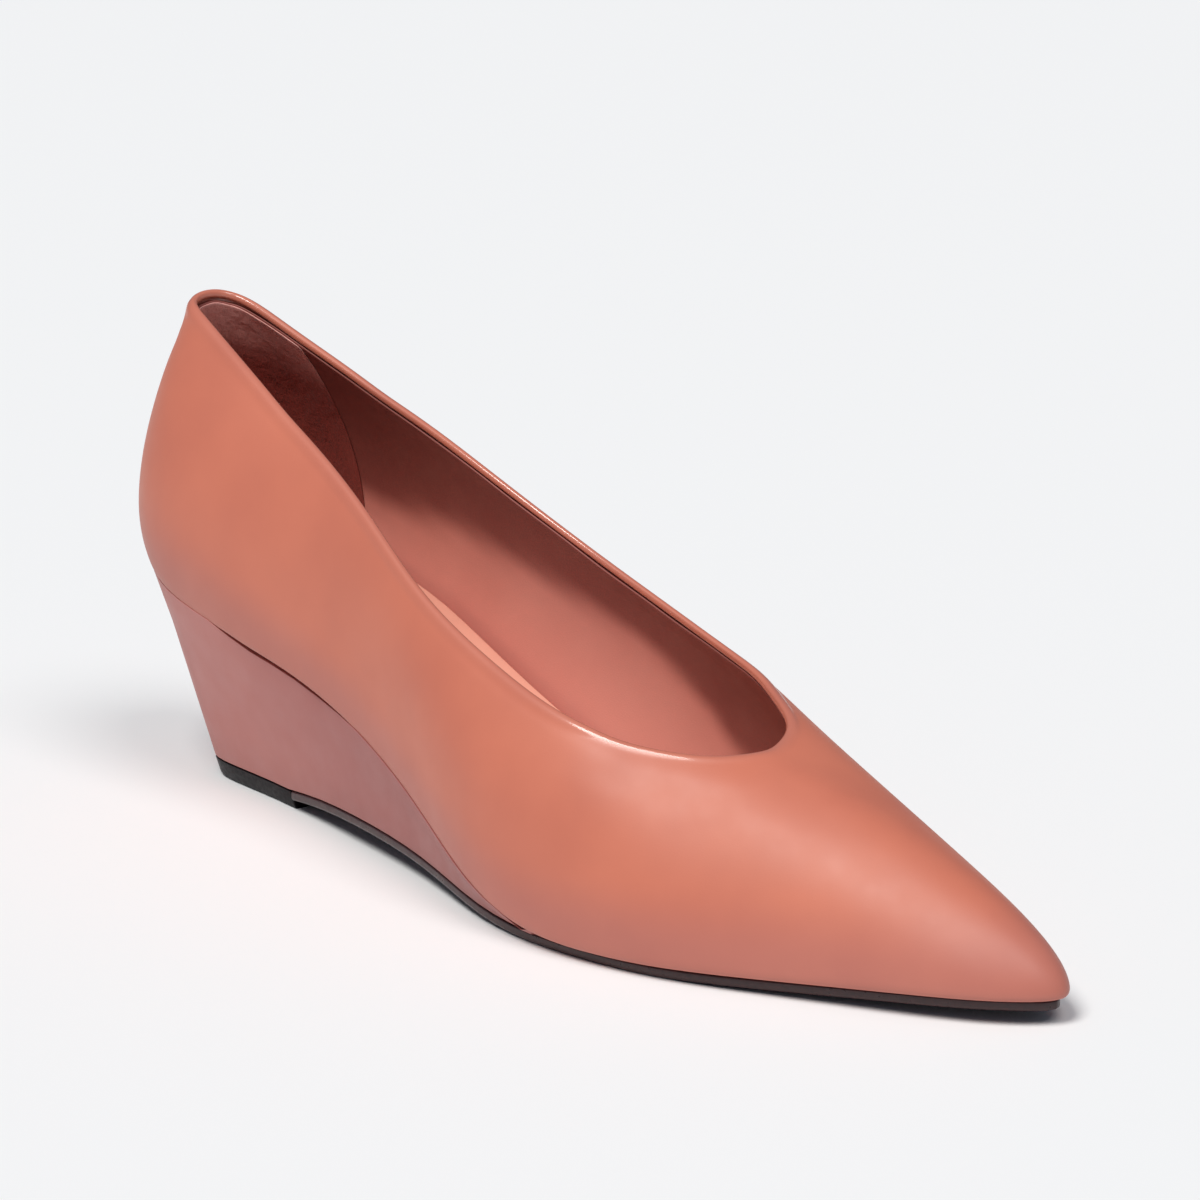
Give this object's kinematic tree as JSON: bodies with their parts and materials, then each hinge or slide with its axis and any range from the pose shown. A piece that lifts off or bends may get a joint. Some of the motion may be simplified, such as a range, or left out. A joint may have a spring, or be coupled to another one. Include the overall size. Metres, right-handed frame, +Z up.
{
  "type": "wedge pump",
  "caption": "Right-foot pointed pump in smooth leather, high-cut topline sloping from heel to throat, on a leather-covered wedge heel.",
  "frame": {"origin": "middle of the shoe's bounding box on the floor", "axes": "+X from heel to toe, +Z up, -Y the outer side of the right foot"},
  "size_m": [0.2638, 0.0732, 0.1023],
  "materials": {
    "upper_leather": "smooth terracotta calf leather, soft sheen, matching lining",
    "sock_leather": "soft matt lining leather",
    "wedge_leather": "smooth leather cover, drawn tight",
    "sole_leather": "dark stained edge, satin",
    "heel_rubber": "matt black"
  },
  "bodies": {
    "root": {"upper": "upper_leather", "insole": "sock_leather", "wedge": "wedge_leather", "outsole": "sole_leather", "top_piece": "heel_rubber"}
  },
  "joints": []
}
